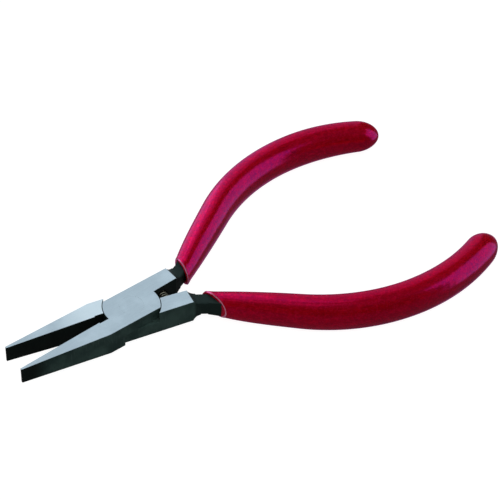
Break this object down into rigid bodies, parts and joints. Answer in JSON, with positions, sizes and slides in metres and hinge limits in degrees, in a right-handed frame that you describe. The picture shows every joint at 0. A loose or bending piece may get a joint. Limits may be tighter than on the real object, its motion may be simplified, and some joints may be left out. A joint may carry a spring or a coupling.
{
  "type": "flat nose pliers",
  "caption": "Short flat nose pliers with smooth tapered jaws, a flush lap joint, a coil return spring and dipped red grips; open at rest.",
  "frame": {"origin": "on the rivet's axis, at the flat underside of the head", "axes": "+X along the tool from the rivet to the handles, +Y to the side of the upper lever's handle, +Z along the rivet, up through the head; at rest the pliers stand open and both levers are turned by 6.6 degrees from X"},
  "size_m": [0.108, 0.0595, 0.0083],
  "materials": {
    "forged_steel": "faces ground to a satin, sides blackened",
    "rivet_steel": "ground flush with the head",
    "spring_steel": "drawn wire, straw tempered",
    "grip_vinyl": "glossy dipped vinyl"
  },
  "bodies": {
    "upper_half": {"upper_lever": "forged_steel", "pivot_rivet": "rivet_steel", "return_spring": "spring_steel", "upper_grip_sleeve": "grip_vinyl"},
    "lower_half": {"lower_lever": "forged_steel", "lower_grip_sleeve": "grip_vinyl"}
  },
  "joints": [
    {"name": "pivot", "type": "hinge", "parent": "upper_half", "child": "lower_half", "pos_m": [0, 0, 0], "axis": [0, 0, 1], "range_deg": [-10, 13.2], "stiffness_Nm_per_rad": 0.2, "deforming": ["return_spring"]}
  ]
}
